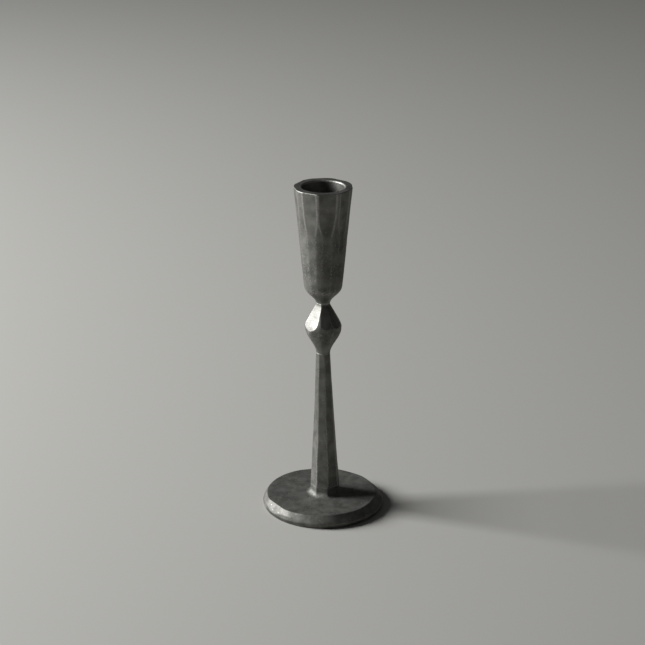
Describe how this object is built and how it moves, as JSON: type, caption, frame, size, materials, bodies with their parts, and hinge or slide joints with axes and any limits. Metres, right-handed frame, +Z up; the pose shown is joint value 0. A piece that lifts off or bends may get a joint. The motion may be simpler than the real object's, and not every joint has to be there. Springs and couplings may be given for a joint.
{
  "type": "candle holder",
  "caption": "Slim free-standing candle holder in dark cast iron: faceted tapering cup, knop and stem on a round bevelled foot with a felt pad.",
  "frame": {"origin": "on the surface that the holder stands on, under the middle of the foot", "axes": "+Z up along the candle, -Y towards the viewer of the picture, +X to the right"},
  "size_m": [0.0654, 0.0654, 0.18],
  "materials": {
    "dark_iron": "waxed black cast iron, satin, rubbed brighter on edges and cut facets",
    "steel": "plain zinc-plated steel",
    "felt": "black pressed wool felt"
  },
  "bodies": {
    "root": {"cup": "dark_iron", "knop": "dark_iron", "stem": "dark_iron", "foot": "dark_iron", "neck_stud": "steel", "foot_screw": "steel", "spring_washer": "steel", "base_pad": "felt"}
  },
  "joints": []
}
